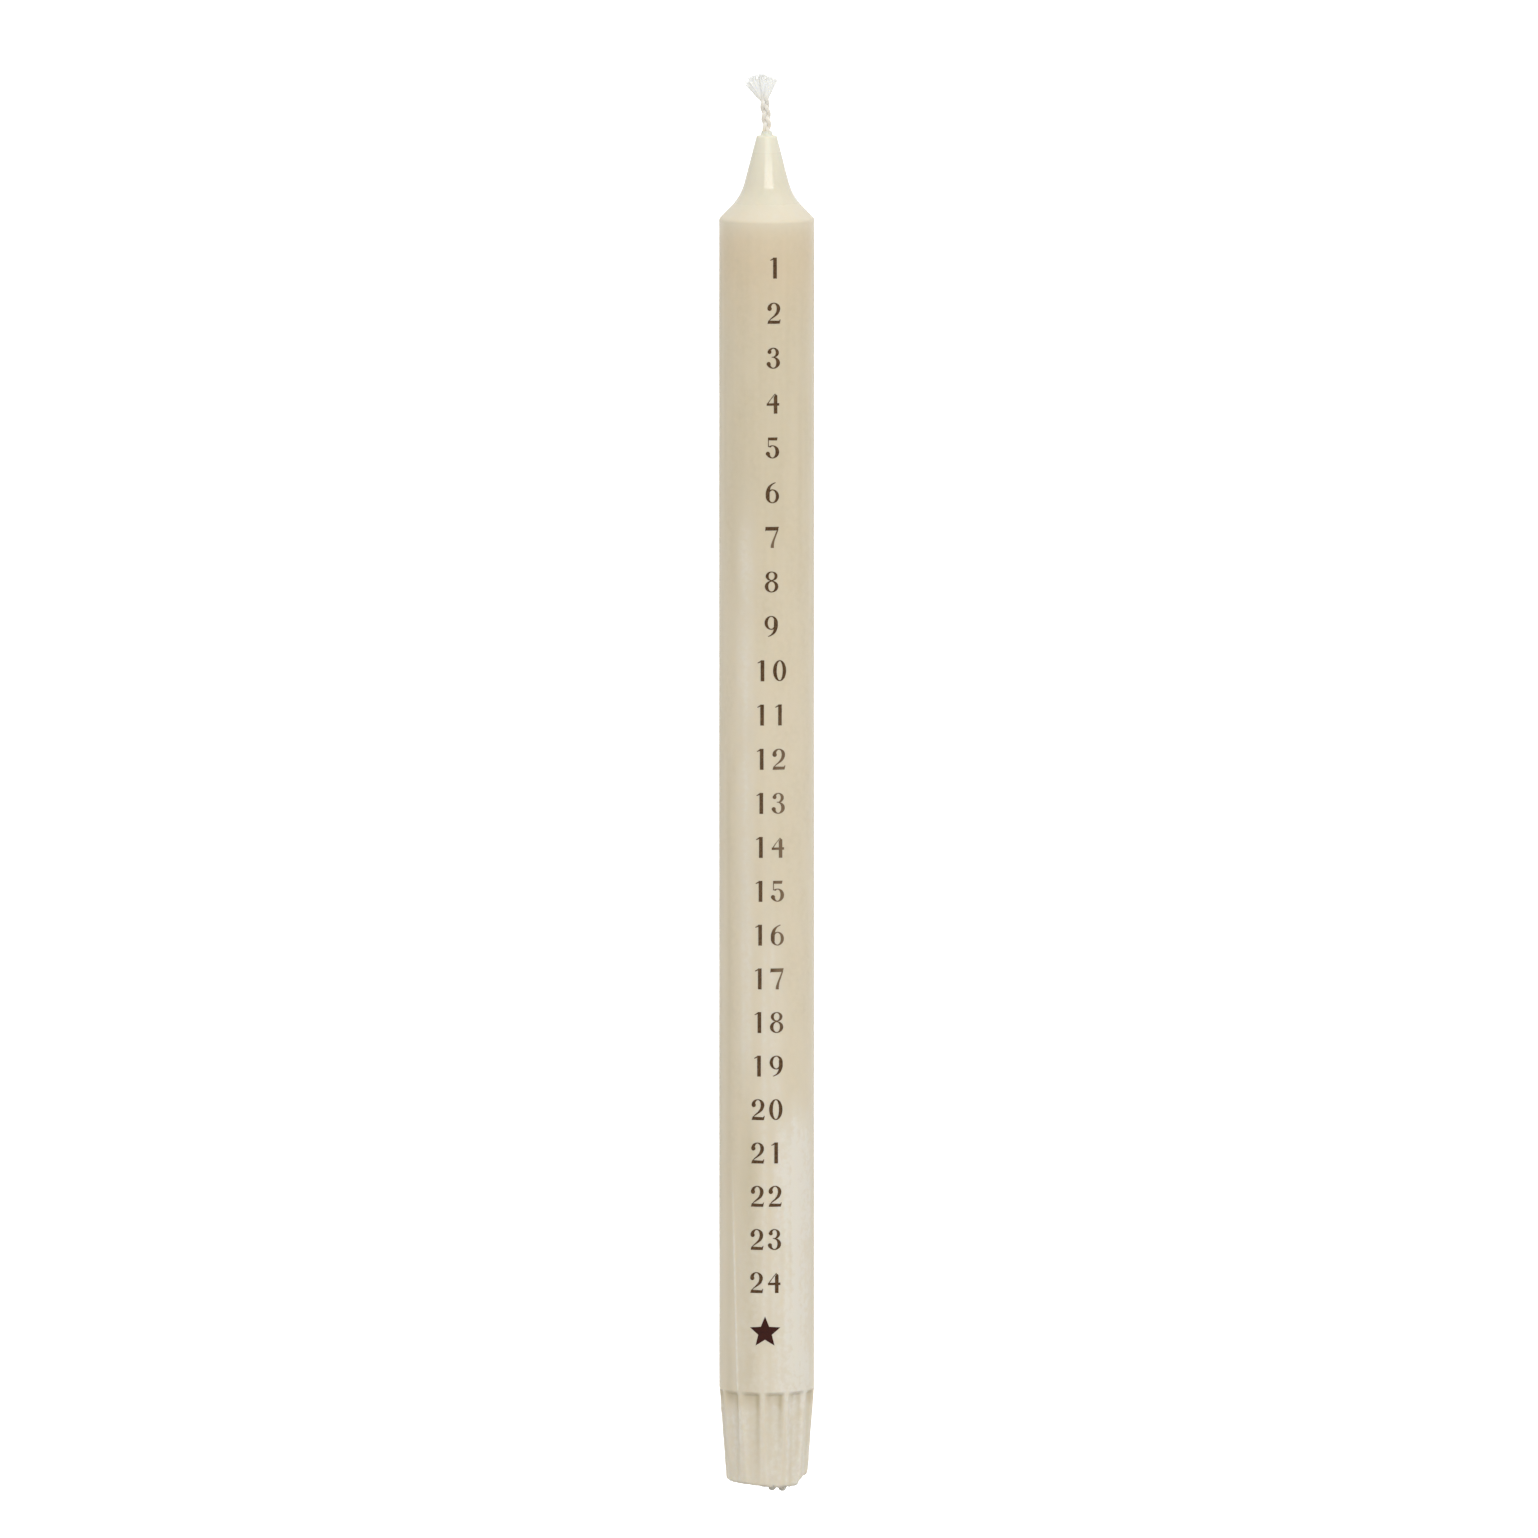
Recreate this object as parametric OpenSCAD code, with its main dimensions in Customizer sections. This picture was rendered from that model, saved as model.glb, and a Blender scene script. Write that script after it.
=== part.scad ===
// Calendar candle: a poured taper with a fluted foot that wedges into a
// candlestick, a drawn-in neck and a braided cotton wick with a frayed end.
// Millimetres. Z runs up the candle's axis, and the origin is on that axis at
// the foot's lower face. The front, where the days are printed, faces -Y.

/* [Column] */
// Diameter of the plain column
column_d = 20; // [16:0.5:32]
// Length of the plain column, from the foot to the shoulder
column_len = 245.6; // [80:0.1:400]

/* [Neck] */
// Height of the whole neck above the column
neck_len = 17.4; // [12:0.1:30]
// Height of the steep shoulder at the bottom of the neck
shoulder_len = 4.7; // [3:0.1:7]
// Diameter where the shoulder meets the slender part of the neck
neck_base_d = 10.9; // [8:0.1:13]
// Diameter of the neck's top before it is rounded over
neck_top_d = 4.15; // [3.4:0.05:6]
// Radius of the hollow sweep between shoulder and neck
flare_r = 11; // [4:0.5:16]
// Radius that rounds the column into the shoulder
shoulder_round = 1; // [0.3:0.1:2]
// Radius that rounds over the neck's top
tip_round = 0.45; // [0.2:0.05:0.6]
// Height of the wax that climbs the wick
collar_len = 0.9; // [0.4:0.1:2]
// Thickness of that wax at its upper end
collar_wall = 0.12; // [0.1:0.01:0.3]
// How much that wax spreads outwards on its way down
collar_spread = 0.2; // [0.1:0.05:0.3]
// Radius that leads that wax into the neck's top
collar_round = 0.4; // [0.2:0.05:0.6]

/* [Foot] */
// Length of the fluted foot
foot_len = 19.7; // [12:0.1:35]
// How much narrower the foot's lower end is than the column
foot_taper = 3; // [1:0.1:5]
// Number of ribs around the foot
rib_count = 12; // [8:1:16]
// Turn of the first rib away from the front, towards +X
rib_turn = -5; // [-15:1:15]
// Width of a rib's crest where it leaves the column
rib_crest = 1; // [0.6:0.1:1.8]
// Depth of a flute where it leaves the column
flute_depth = 1.1; // [0.6:0.1:1.6]
// Depth of a flute at the foot's lower end
flute_end_depth = 0.4; // [0.2:0.1:0.6]
// Radius that rounds the foot's lower rim
rim_round = 0.7; // [0.3:0.1:1]
// Width of the piece broken off the lower rim on the right
chip_w = 1.8; // [0.8:0.1:2.5]

/* [Wick] */
// Diameter of the wick where the wax holds it
wick_d = 1.8; // [1.4:0.05:2]
// Width of the flat braid where it has loosened, above the wax
braid_w = 2.06; // [2.04:0.02:2.6]
// Width of one flattened strand of the braid
strand_w = 0.7; // [0.5:0.02:0.7]
// Thickness of that strand, front to back
strand_t = 0.54; // [0.4:0.02:0.56]
// Length over which one strand crosses the braid and comes back
braid_pitch = 7; // [6:0.5:12]
// Clear space between strands where they cross
strand_gap = 0.06; // [0.05:0.01:0.1]
// Length of the braid that stands clear of the wax
stalk_len = 6.6; // [4:0.1:15]
// How far the stalk leans to the left at its top
stalk_lean = 0.55; // [0:0.05:2]
// Clear space around the wick where it runs through the wax
wick_gap = 0.05; // [0.03:0.01:0.1]

/* [Frayed end] */
// Height of the frayed end above the braid
fray_len = 5.4; // [3:0.1:9]
// How far the threads of one strand open out around their middle
fray_spread = 0.45; // [0.3:0.05:0.6]
// How far the longest stray thread reaches out to the left
stray_reach = 1.5; // [0:0.1:3]
// Clear space between the threads of one strand
thread_gap = 0.01; // [0.005:0.005:0.03]

/* [Hidden] */

$fn = 96;
UP = [0, 0, 1];
FRONT = -90;
// Extra length of a cutter past the face that it cuts through
PAST = 1;

column_r = column_d / 2;
foot_end_r = column_r - foot_taper / 2;
neck_base_r = neck_base_d / 2;
neck_top_r = neck_top_d / 2;
column_top = foot_len + column_len;
neck_top = column_top + neck_len;
collar_top = neck_top + collar_len;
wick_r = wick_d / 2;
bore_r = wick_r + wick_gap;

// A flute's cutter is round, and wide enough to leave a crest of rib_crest
rib_step = 360 / rib_count;
flute_half_angle = rib_step / 2 - (rib_crest / 2 / column_r) * 180 / PI;
flute_half_w = column_r * sin(flute_half_angle);
flute_sag = column_r * cos(flute_half_angle) - (column_r - flute_depth);
cutter_r = (flute_half_w * flute_half_w + flute_sag * flute_sag) / (2 * flute_sag);
cutter_top = column_r - flute_depth + cutter_r;
cutter_end = foot_end_r - flute_end_depth + cutter_r;
cutter_tilt = atan((cutter_top - cutter_end) / foot_len);

// Wax drops left under the rim where the mould was filled: the turn from the
// front towards +X, and the diameter of each
POUR_DROPS = [[10, 1.8], [29, 2.1]];
// Share of a drop's diameter by which its centre lies below the lower face
DROP_HANG = 0.34;
// How much wider than the drop itself the root is that it hangs from
DROP_ROOT = 1.15;
// The drops hang from the flat of the lower face, this far inside its edge
DROP_INSET = 0.3;
// Slope of the face where the rim is broken
CHIP_SLOPE = 45;

// Half the travel of a strand across the braid, and through its thickness. Two
// strands pass each other at sqrt(3) times the second of these
sway = (braid_w - strand_w) / 2;
weave = (strand_t + strand_gap) / sqrt(3);
strand_rings = ceil(stalk_len / 0.28);
STRAND_SIDES = 10;

// Six threads lie around a seventh in each strand, and fluff out as they open
thread_r = strand_t / 6 - thread_gap / 2;
THREAD_FLUFF = 1.75;
THREADS_AROUND = 6;
THREAD_RINGS = 7;
THREAD_SIDES = 6;
// How much shorter than its neighbour a thread is cut, as a share of the fray
CUT_STEP = 0.035;
// Power by which a thread bows out, and share of its height lost to the bow
BOW_POWER = 1.4;
BOW_DROP = 0.12;
// Each strand: its turn in the braid in thirds of the pitch, how far its
// threads' middle moves to the right and to the back in mm, and how much of
// the fray's height they reach
LEFT = [2, -1.4, 0.45, 0.74];
MIDDLE = [0, -0.3, 0, 1];
RIGHT = [1, 0.95, -0.45, 0.88];

function unit(v) = v / norm(v);

// Share of a straight run that one rounding may take. Below a half, the two
// roundings at its ends never meet
CORNER_SHARE = 0.49;

// Points of the arc of radius r that rounds corner b of the line a, b, c
function rounded(a, b, c, r, steps = 6) =
    let (to_a = unit(a - b))
    let (to_c = unit(c - b))
    let (half = acos(to_a * to_c) / 2)
    let (room = CORNER_SHARE * min(norm(a - b), norm(c - b)))
    let (fit = min(r, room * tan(half)))
    let (centre = b + unit(to_a + to_c) * fit / sin(half))
    let (from = b + to_a * fit / tan(half) - centre)
    let (to = b + to_c * fit / tan(half) - centre)
    [for (i = [0:steps]) centre + fit * unit(from * (steps - i) + to * i)];

// Half of the wax body's outline: distance from the axis, and height
function wax_outline() =
    let (lower_axis = [0, 0])
    let (rim = [foot_end_r, 0])
    let (foot_top = [column_r, foot_len])
    let (shoulder = [column_r, column_top])
    let (neck_base = [neck_base_r, column_top + shoulder_len])
    let (neck_edge = [neck_top_r, neck_top])
    let (collar_edge = [bore_r + collar_wall, collar_top])
    let (collar_base = [collar_edge.x + collar_spread, neck_top])
    concat(
        [lower_axis],
        rounded(lower_axis, rim, foot_top, rim_round),
        [foot_top],
        rounded(foot_top, shoulder, neck_base, shoulder_round),
        rounded(shoulder, neck_base, neck_edge, flare_r, 12),
        rounded(neck_base, neck_edge, collar_base, tip_round),
        rounded(neck_edge, collar_base, collar_edge, collar_round),
        [collar_edge, [0, collar_top]]
    );

// How far the braid has loosened at a share of its height: from the tight cord
// in the wax to its full width in the lower third
function loosened(rise) =
    let (start = wick_d / braid_w)
    let (s = min(1, 3 * rise))
    start + (1 - start) * s * s * (3 - 2 * s);

// Path of one strand of the three-strand braid. It leans to the left as it
// rises, and turn is its place in the braid, in thirds of the pitch
function strand_path(turn) = [
    for (i = [0:strand_rings])
        let (rise = i / strand_rings)
        let (z = stalk_len * rise)
        let (t = 360 * (z - stalk_len) / braid_pitch + 120 * turn)
        [
            loosened(rise) * sway * sin(t) - stalk_lean * rise * rise,
            loosened(rise) * weave * sin(2 * t),
            collar_top + z
        ]
];

// Where thread number i lies in its strand, as a direction from the middle
function thread_place(i) =
    i == 0 ? [0, 0] : [cos(i * 60), sin(i * 60)];

// The stray thread is the outermost one of the left group
function is_stray(group, i) = group == LEFT && i == 3;

// Path of thread number i, from the flat end of its strand up and outwards
function thread_path(group, i) =
    let (root = strand_path(group[0])[strand_rings])
    let (place = thread_place(i))
    let (ring_w = strand_w / 2 - thread_r)
    let (ring_t = strand_t / 2 - thread_r)
    let (stray = is_stray(group, i) ? stray_reach : 0)
    let (height = fray_len * (group[3] - CUT_STEP * (i % 3)))
    [
        for (j = [0:THREAD_RINGS])
            let (s = j / THREAD_RINGS)
            let (bow = pow(s, BOW_POWER))
            let (fan = fray_spread * bow)
            [
                root.x + place.x * (ring_w + fan) + group[1] * bow - stray * s * s,
                root.y + place.y * (ring_t + fan) + group[2] * bow,
                root.z + height * (s - BOW_DROP * s * s) / (1 - BOW_DROP)
            ]
    ];

// Direction of a path at point i. The first point, and the last where
// level_end is set, stand upright so that their faces lie flat
function heading(path, i, level_end) =
    let (last = len(path) - 1)
    i == 0 || (level_end && i == last)
        ? UP
        : unit(path[min(i + 1, last)] - path[i - 1]);

// Closed tube along a path that never runs along Y. sizes gives half its width
// and half its thickness at each point of the path
module tube(path, sizes, sides, level_end) {
    last = len(path) - 1;
    rings = [
        for (i = [0:last])
            let (along = heading(path, i, level_end))
            let (across = unit(cross([0, 1, 0], along)))
            let (up = cross(along, across))
            for (k = [0:sides - 1])
                let (a = 360 * k / sides)
                path[i] + sizes[i].x * cos(a) * across + sizes[i].y * sin(a) * up
    ];
    walls = [
        for (i = [0:last - 1])
            for (k = [0:sides - 1])
                let (a = i * sides + k)
                let (b = i * sides + (k + 1) % sides)
                for (tri = [[a, a + sides, b], [b, a + sides, b + sides]])
                    tri
    ];
    start_cap = [for (k = [1:sides - 2]) [0, k, k + 1]];
    end_cap = [for (k = [1:sides - 2]) [last * sides, last * sides + k + 1, last * sides + k]];
    polyhedron(points = rings, faces = concat(walls, start_cap, end_cap), convexity = 4);
}

module flutes() {
    for (i = [0:rib_count - 1]) {
        rotate([0, 0, FRONT + rib_turn + (i + 0.5) * rib_step])
            translate([cutter_end, 0, 0])
                rotate([0, cutter_tilt, 0])
                    translate([0, 0, -PAST])
                        cylinder(r = cutter_r, h = foot_len / cos(cutter_tilt) + PAST);
    }
}

// Everything outside a slanting face that starts chip_w inside the lower rim
module chip() {
    translate([foot_end_r - chip_w, 0, 0])
        rotate([0, CHIP_SLOPE, 0])
            translate([0, -column_r, -column_r])
                cube([column_r, column_d, column_d]);
}

module pour_drops() {
    ring_r = foot_end_r - flute_end_depth - rim_round - DROP_INSET;
    for (drop = POUR_DROPS) {
        drop_d = drop[1];
        rotate([0, 0, FRONT + drop[0]])
            translate([ring_r, 0, -DROP_HANG * drop_d]) {
                sphere(d = drop_d);
                cylinder(d1 = drop_d, d2 = drop_d * DROP_ROOT, h = DROP_HANG * drop_d + rim_round / 2);
            }
    }
}

module wax_body() {
    color("antiquewhite") {
        difference() {
            union() {
                difference() {
                    rotate_extrude() polygon(wax_outline());
                    flutes();
                    chip();
                }
                pour_drops();
            }
            translate([0, 0, -PAST])
                cylinder(r = bore_r, h = collar_top + 2 * PAST);
        }
    }
}

// The length of the wick that the wax holds, soaked and set as one round cord
module wick_core() {
    color("wheat") cylinder(r = wick_r, h = collar_top);
}

module strand(turn) {
    sizes = [for (i = [0:strand_rings]) loosened(i / strand_rings) * [strand_w, strand_t] / 2];
    color("ivory") tube(strand_path(turn), sizes, STRAND_SIDES, true);
}

module threads(group) {
    sizes = [
        for (j = [0:THREAD_RINGS])
            let (swell = 1 + (THREAD_FLUFF - 1) * j / THREAD_RINGS)
            thread_r * swell * [1, 1]
    ];
    color("ivory") {
        for (i = [0:THREADS_AROUND]) {
            tube(thread_path(group, i), sizes, THREAD_SIDES, false);
        }
    }
}

module wick_strand_left() { strand(LEFT[0]); }
module wick_strand_middle() { strand(MIDDLE[0]); }
module wick_strand_right() { strand(RIGHT[0]); }
module wick_threads_left() { threads(LEFT); }
module wick_threads_middle() { threads(MIDDLE); }
module wick_threads_right() { threads(RIGHT); }

wax_body();
wick_core();
wick_strand_left();
wick_strand_middle();
wick_strand_right();
wick_threads_left();
wick_threads_middle();
wick_threads_right();
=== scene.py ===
import random
from collections import Counter
from math import ceil, cos, degrees, exp, inf, log, pi, radians, sin, sqrt, tan

import bpy
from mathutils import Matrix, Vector, geometry, noise


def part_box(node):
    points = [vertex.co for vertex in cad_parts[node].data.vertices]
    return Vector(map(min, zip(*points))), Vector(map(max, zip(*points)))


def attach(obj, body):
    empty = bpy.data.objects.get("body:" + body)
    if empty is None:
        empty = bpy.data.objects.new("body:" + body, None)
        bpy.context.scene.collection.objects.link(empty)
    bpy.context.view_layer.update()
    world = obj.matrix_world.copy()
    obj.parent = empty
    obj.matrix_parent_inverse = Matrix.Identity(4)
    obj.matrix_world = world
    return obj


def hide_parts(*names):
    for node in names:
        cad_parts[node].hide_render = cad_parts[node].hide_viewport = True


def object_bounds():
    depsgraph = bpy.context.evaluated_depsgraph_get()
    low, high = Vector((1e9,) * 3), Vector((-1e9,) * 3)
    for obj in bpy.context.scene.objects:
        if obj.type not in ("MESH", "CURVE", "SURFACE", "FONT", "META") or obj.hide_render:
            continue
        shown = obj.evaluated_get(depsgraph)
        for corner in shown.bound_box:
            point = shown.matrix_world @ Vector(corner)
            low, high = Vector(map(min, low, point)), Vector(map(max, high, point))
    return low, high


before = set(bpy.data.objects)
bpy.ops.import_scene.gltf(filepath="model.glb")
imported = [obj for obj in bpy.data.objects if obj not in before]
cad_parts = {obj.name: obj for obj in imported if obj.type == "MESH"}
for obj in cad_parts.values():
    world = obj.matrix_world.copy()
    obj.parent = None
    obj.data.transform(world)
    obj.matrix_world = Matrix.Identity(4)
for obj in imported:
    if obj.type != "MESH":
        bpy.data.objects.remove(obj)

cad_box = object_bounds()
MM = 0.001
ROOT = "root"


def at_turn(radius, turn, height):
    """The point at a distance from the axis, a turn and a height."""
    return Vector((radius * sin(turn), -radius * cos(turn), height))


def new_object(name, data):
    """An object of the scene that holds a mesh, lamp or camera."""
    made = bpy.data.objects.new(name, data)
    bpy.context.scene.collection.objects.link(made)
    return made


# Camera and studio

def facing(name, data, middle, turn, height, distance):
    """A camera or lamp that looks at a point, from a turn round the candle, an
    angle above the horizon and a distance."""
    way = at_turn(cos(height), turn, sin(height))
    made = new_object(name, data)
    made.location = (middle + way * distance) * MM
    made.rotation_mode = "QUATERNION"
    made.rotation_quaternion = (-way).to_track_quat("-Z", "Y")
    return made


PHOTO_PX = 1538
PHOTO_PX_PER_MM = 4.78
SENSOR_MM = 36.0
CAMERA_DISTANCE = 5000.0
CAMERA_DROP = radians(5.8)
# The point of the candle that lies at the middle of the photograph
AIM = Vector((0.48, 0.0, 149.8))
# Nearest and farthest that the camera sees, in metres
CAMERA_SEES = (0.1, 100.0)


def make_camera():
    """A long lens from far away, looking slightly down at the front."""
    lens = bpy.data.cameras.new("photo_camera")
    lens.sensor_width = SENSOR_MM
    lens.lens = PHOTO_PX_PER_MM * CAMERA_DISTANCE * SENSOR_MM / PHOTO_PX
    lens.clip_start, lens.clip_end = CAMERA_SEES
    camera = facing("photo_camera", lens, AIM, 0, CAMERA_DROP, CAMERA_DISTANCE)
    bpy.context.scene.camera = camera


def add_node(tree, kind, inputs=None, **settings):
    """Adds a shader node, sets its properties, and fills or links its inputs."""
    made = tree.nodes.new("ShaderNode" + kind)
    for name, value in settings.items():
        setattr(made, name, value)
    for socket, value in (inputs or {}).items():
        if isinstance(value, bpy.types.NodeSocket):
            tree.links.new(value, made.inputs[socket])
        else:
            made.inputs[socket].default_value = value
    return made


def empty_tree(owner):
    """The node tree of a material or a world, with nothing in it."""
    owner.use_nodes = True
    owner.node_tree.nodes.clear()
    return owner.node_tree


def colour(code):
    """The linear colour of an sRGB hex code."""
    shares = [int(code[i:i + 2], 16) / 255 for i in (1, 3, 5)]
    return [s / 12.92 if s <= 0.04045 else ((s + 0.055) / 1.055) ** 2.4 for s in shares] + [1.0]


def backdrop_share(tree):
    """Is 1 for rays that should meet the white backdrop, and 0 for light on
    the candle."""
    path = add_node(tree, "LightPath")
    seen = path.outputs["Is Camera Ray"]
    for ray in ("Is Glossy Ray", "Is Transmission Ray"):
        seen = add_node(tree, "Math", {0: seen, 1: path.outputs[ray]}, operation="MAXIMUM").outputs[0]
    return seen


ROOM_LIGHT = 0.82


def make_backdrop():
    """White all round for the eye, and an even soft room light on the candle."""
    world = bpy.data.worlds.new("white_room")
    bpy.context.scene.world = world
    tree = empty_tree(world)
    strength = add_node(tree, "MapRange", {0: backdrop_share(tree), 3: ROOM_LIGHT, 4: 1.0}).outputs[0]
    light = add_node(tree, "Background", {"Color": colour("#ffffff"), "Strength": strength})
    add_node(tree, "OutputWorld", {"Surface": light.outputs[0]})


FLOOR_DROP = 300.0
FLOOR_SIZE = 60000.0
FLOOR_COLOUR = colour("#cfcfcf")


def make_floor():
    """A plain pale floor below the foot. The candle is held by its foot, as a
    candlestick holds it, so it hangs clear of the floor."""
    half = FLOOR_SIZE / 2 * MM
    level = cad_box[0].z - FLOOR_DROP * MM
    mesh = bpy.data.meshes.new("floor")
    corners = [(-half, -half), (half, -half), (half, half), (-half, half)]
    mesh.from_pydata([(x, y, level) for x, y in corners], [], [(0, 1, 2, 3)])
    material = bpy.data.materials.new("studio_floor")
    tree = empty_tree(material)
    matt = add_node(tree, "BsdfDiffuse", {"Color": FLOOR_COLOUR}).outputs[0]
    glow = add_node(tree, "Emission", {"Strength": backdrop_share(tree)}).outputs[0]
    lit = add_node(tree, "AddShader", {0: matt, 1: glow}).outputs[0]
    clear = add_node(tree, "BsdfTransparent").outputs[0]
    under = add_node(tree, "NewGeometry").outputs["Backfacing"]
    shown = add_node(tree, "MixShader", {0: under, 1: lit, 2: clear}).outputs[0]
    add_node(tree, "OutputMaterial", {"Surface": shown})
    mesh.materials.append(material)
    new_object("floor", mesh)


# Each softbox: turn round the candle, height above the horizon (degrees),
# distance, width and height (mm), and the light it gives a surface that faces it
SOFTBOXES = {
    "key_softbox": (12, 33, 1500, 1150, 310, 0.28),
    "top_softbox": (60, 60, 1400, 900, 900, 0.06),
}


def make_softboxes():
    """Plain soft studio light, somewhat stronger from the right and above."""
    middle = Vector((0, 0, AIM.z))
    for name, (turn, height, distance, box_w, box_h, light) in SOFTBOXES.items():
        lamp = bpy.data.lights.new(name, "AREA")
        lamp.shape = "RECTANGLE"
        lamp.size = box_w * MM
        lamp.size_y = box_h * MM
        lamp.energy = light * (pi * distance * MM) ** 2
        facing(name, lamp, middle, radians(turn), radians(height), distance)


# Materials

def start_material(name):
    """An empty node material, and the place of a point of the candle in mm."""
    material = bpy.data.materials.new(name)
    tree = empty_tree(material)
    place = add_node(tree, "TexCoord").outputs["Object"]
    place_mm = add_node(tree, "VectorMath", {0: place, "Scale": 1 / MM}, operation="SCALE").outputs[0]
    return material, tree, place_mm


def grain(tree, place_mm, size, detail=3.0, stretch=1.0):
    """Soft noise whose grains are size mm wide and stretch times as tall."""
    shrink = (1 / size, 1 / size, 1 / size / stretch)
    place = add_node(tree, "VectorMath", {0: place_mm, 1: shrink}, operation="MULTIPLY").outputs[0]
    return add_node(tree, "TexNoise", {"Vector": place, "Scale": 1.0, "Detail": detail}).outputs["Fac"]


def relief(tree, height, strength, distance_mm):
    """The bumps of a surface."""
    sockets = {"Strength": strength, "Distance": distance_mm * MM, "Height": height}
    return add_node(tree, "Bump", sockets).outputs[0]


def contrast(tree, value, low, high, to_low=0.0, to_high=1.0):
    """Spreads the values between low and high over a new range."""
    sockets = {0: value, 1: low, 2: high, 3: to_low, 4: to_high}
    return add_node(tree, "MapRange", sockets).outputs[0]


def level_of(tree, place_mm):
    """The height of a point of the candle in mm."""
    return add_node(tree, "SeparateXYZ", {0: place_mm}).outputs["Z"]


def blend(tree, share, first, second):
    """A mix of two colours, given as hex codes or as sockets."""
    first, second = [colour(c) if isinstance(c, str) else c for c in (first, second)]
    return add_node(tree, "Mix", {0: share, 6: first, 7: second}, data_type="RGBA").outputs[2]


def product(tree, first, second):
    return add_node(tree, "Math", {0: first, 1: second}, operation="MULTIPLY").outputs[0]


def total(tree, first, second):
    return add_node(tree, "Math", {0: first, 1: second}, operation="ADD").outputs[0]


def finish_material(tree, inputs):
    shader = add_node(tree, "BsdfPrincipled", inputs)
    add_node(tree, "OutputMaterial", {"Surface": shader.outputs[0]})


WAX_CLEAR = "#e1d5bc"
WAX_WARM = "#e0cdae"
# Deeper clear wax, also used as the colour of painted shade in the flutes and along the column's edges
WAX_DEEP_AND_SHADE = "#c5b898"
WAX_FROSTED = "#e9e3d5"
WAX_MILKY = "#e9e7d5"
# Grey of the painted shade on the lower rim and the drops, which face down
WAX_UNDER_SHADE = "#a9a598"
# Shares that the mesh of the wax carries for its material
WAX_SHARES = ("frost", "deep_and_shade", "milky", "under_shade")
WAX_IOR = 1.44
# How deep red, green and blue light goes into the wax, as shares
WAX_DEPTH = (1.0, 0.8, 0.55)
WAX_ROUGHNESS = 0.38
NECK_ROUGHNESS = 0.13
TIP_ROUGHNESS = 0.3
FROST_ROUGHNESS = 0.6
# Heights in mm between which the neck turns smooth, and its tip dull again
SMOOTH_RISE = (267.0, 270.0)
DULL_RISE = (275.0, 280.0)
# Heights in mm between which the wax below the shoulder turns warm, and the
# neck pale again
WARM_RISE = (240, 262)
WARM_END = (269, 264)
# Heights in mm between which the wax turns uneven towards the foot
UNEVEN_RISE = (30, 14)


def poured_wax():
    """Stearin and paraffin, poured into a metal mould and pulled out of it.
    The eye gets a satin skin with a soft depth, yellowish where the wax is
    clear, whitish with fine mottling where stearin has crystallised, and smooth
    and milky at the tip. Painted shade darkens the flutes and the column's edges,
    and greys the lower edge and the drops, which face down."""
    material, tree, place = start_material("poured_wax")
    frost, deep_and_shade, milky, under_shade = [
        add_node(tree, "Attribute", attribute_name=name).outputs["Fac"] for name in WAX_SHARES]
    cloud = grain(tree, place, 5.0, stretch=2.5)
    mottle = grain(tree, place, 1.1, detail=5.0)
    # Crystals are some tenths of a millimetre wide, and drawn at 0.5 mm
    crystals = grain(tree, place, 0.5, detail=2.0)
    cloudy = contrast(tree, cloud, 0.2, 0.8, 0.5, 1.5)
    broken = product(tree, cloudy, contrast(tree, mottle, 0.25, 0.75, 0.45, 1.55))
    frosted = product(tree, frost, broken)
    patches = contrast(tree, grain(tree, place, 4.0, stretch=3.0), 0.35, 0.7, 0.1, 0.4)
    patchy = product(tree, contrast(tree, mottle, 0.2, 0.8), patches)
    level = level_of(tree, place)
    # The foot is the most uneven part, because it is handled and wedged in sockets
    uneven = product(tree, patchy, contrast(tree, level, *UNEVEN_RISE, 1.0, 2.2))
    warm = product(tree, contrast(tree, level, *WARM_RISE), contrast(tree, level, *WARM_END))
    clear = blend(tree, warm, WAX_CLEAR, WAX_WARM)
    clouded = blend(tree, uneven, clear, WAX_DEEP_AND_SHADE)
    # Deeper wax in bands, plus painted shade in the flutes and along the column's edges
    deepened_and_shaded = blend(tree, deep_and_shade, clouded, WAX_DEEP_AND_SHADE)
    cooled = blend(tree, milky, deepened_and_shaded, WAX_MILKY)
    whitened = blend(tree, frosted, cooled, WAX_FROSTED)
    # Painted shade greys the lower rim and the drops, which face down
    shade = blend(tree, under_shade, whitened, WAX_UNDER_SHADE)
    smooth = contrast(tree, level, *SMOOTH_RISE, WAX_ROUGHNESS, NECK_ROUGHNESS)
    dull = contrast(tree, level, *DULL_RISE, smooth, TIP_ROUGHNESS)
    rough = contrast(tree, frosted, 0.0, 1.0, dull, FROST_ROUGHNESS)
    crystalline = contrast(tree, frosted, 0.0, 0.8, 0.1, 1.0)
    grained = product(tree, total(tree, crystals, mottle), crystalline)
    finish_material(tree, {
        "Base Color": shade,
        "Roughness": rough,
        "IOR": WAX_IOR,
        "Subsurface Weight": 0.5,
        "Subsurface Radius": WAX_DEPTH,
        "Subsurface Scale": 0.8 * MM,
        "Normal": relief(tree, grained, 0.25, 0.05),
    })
    return material


COTTON_IOR = 1.53
COTTON_WHITE = "#fefefa"
COTTON_SHADE = "#f3f3ed"
COTTON_STALK = "#ebe6dc"
WAX_SOAKED = "#f3ecdf"
# How far the wax has climbed above the collar, in mm
SOAKED_HEIGHT = 4.5


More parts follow.
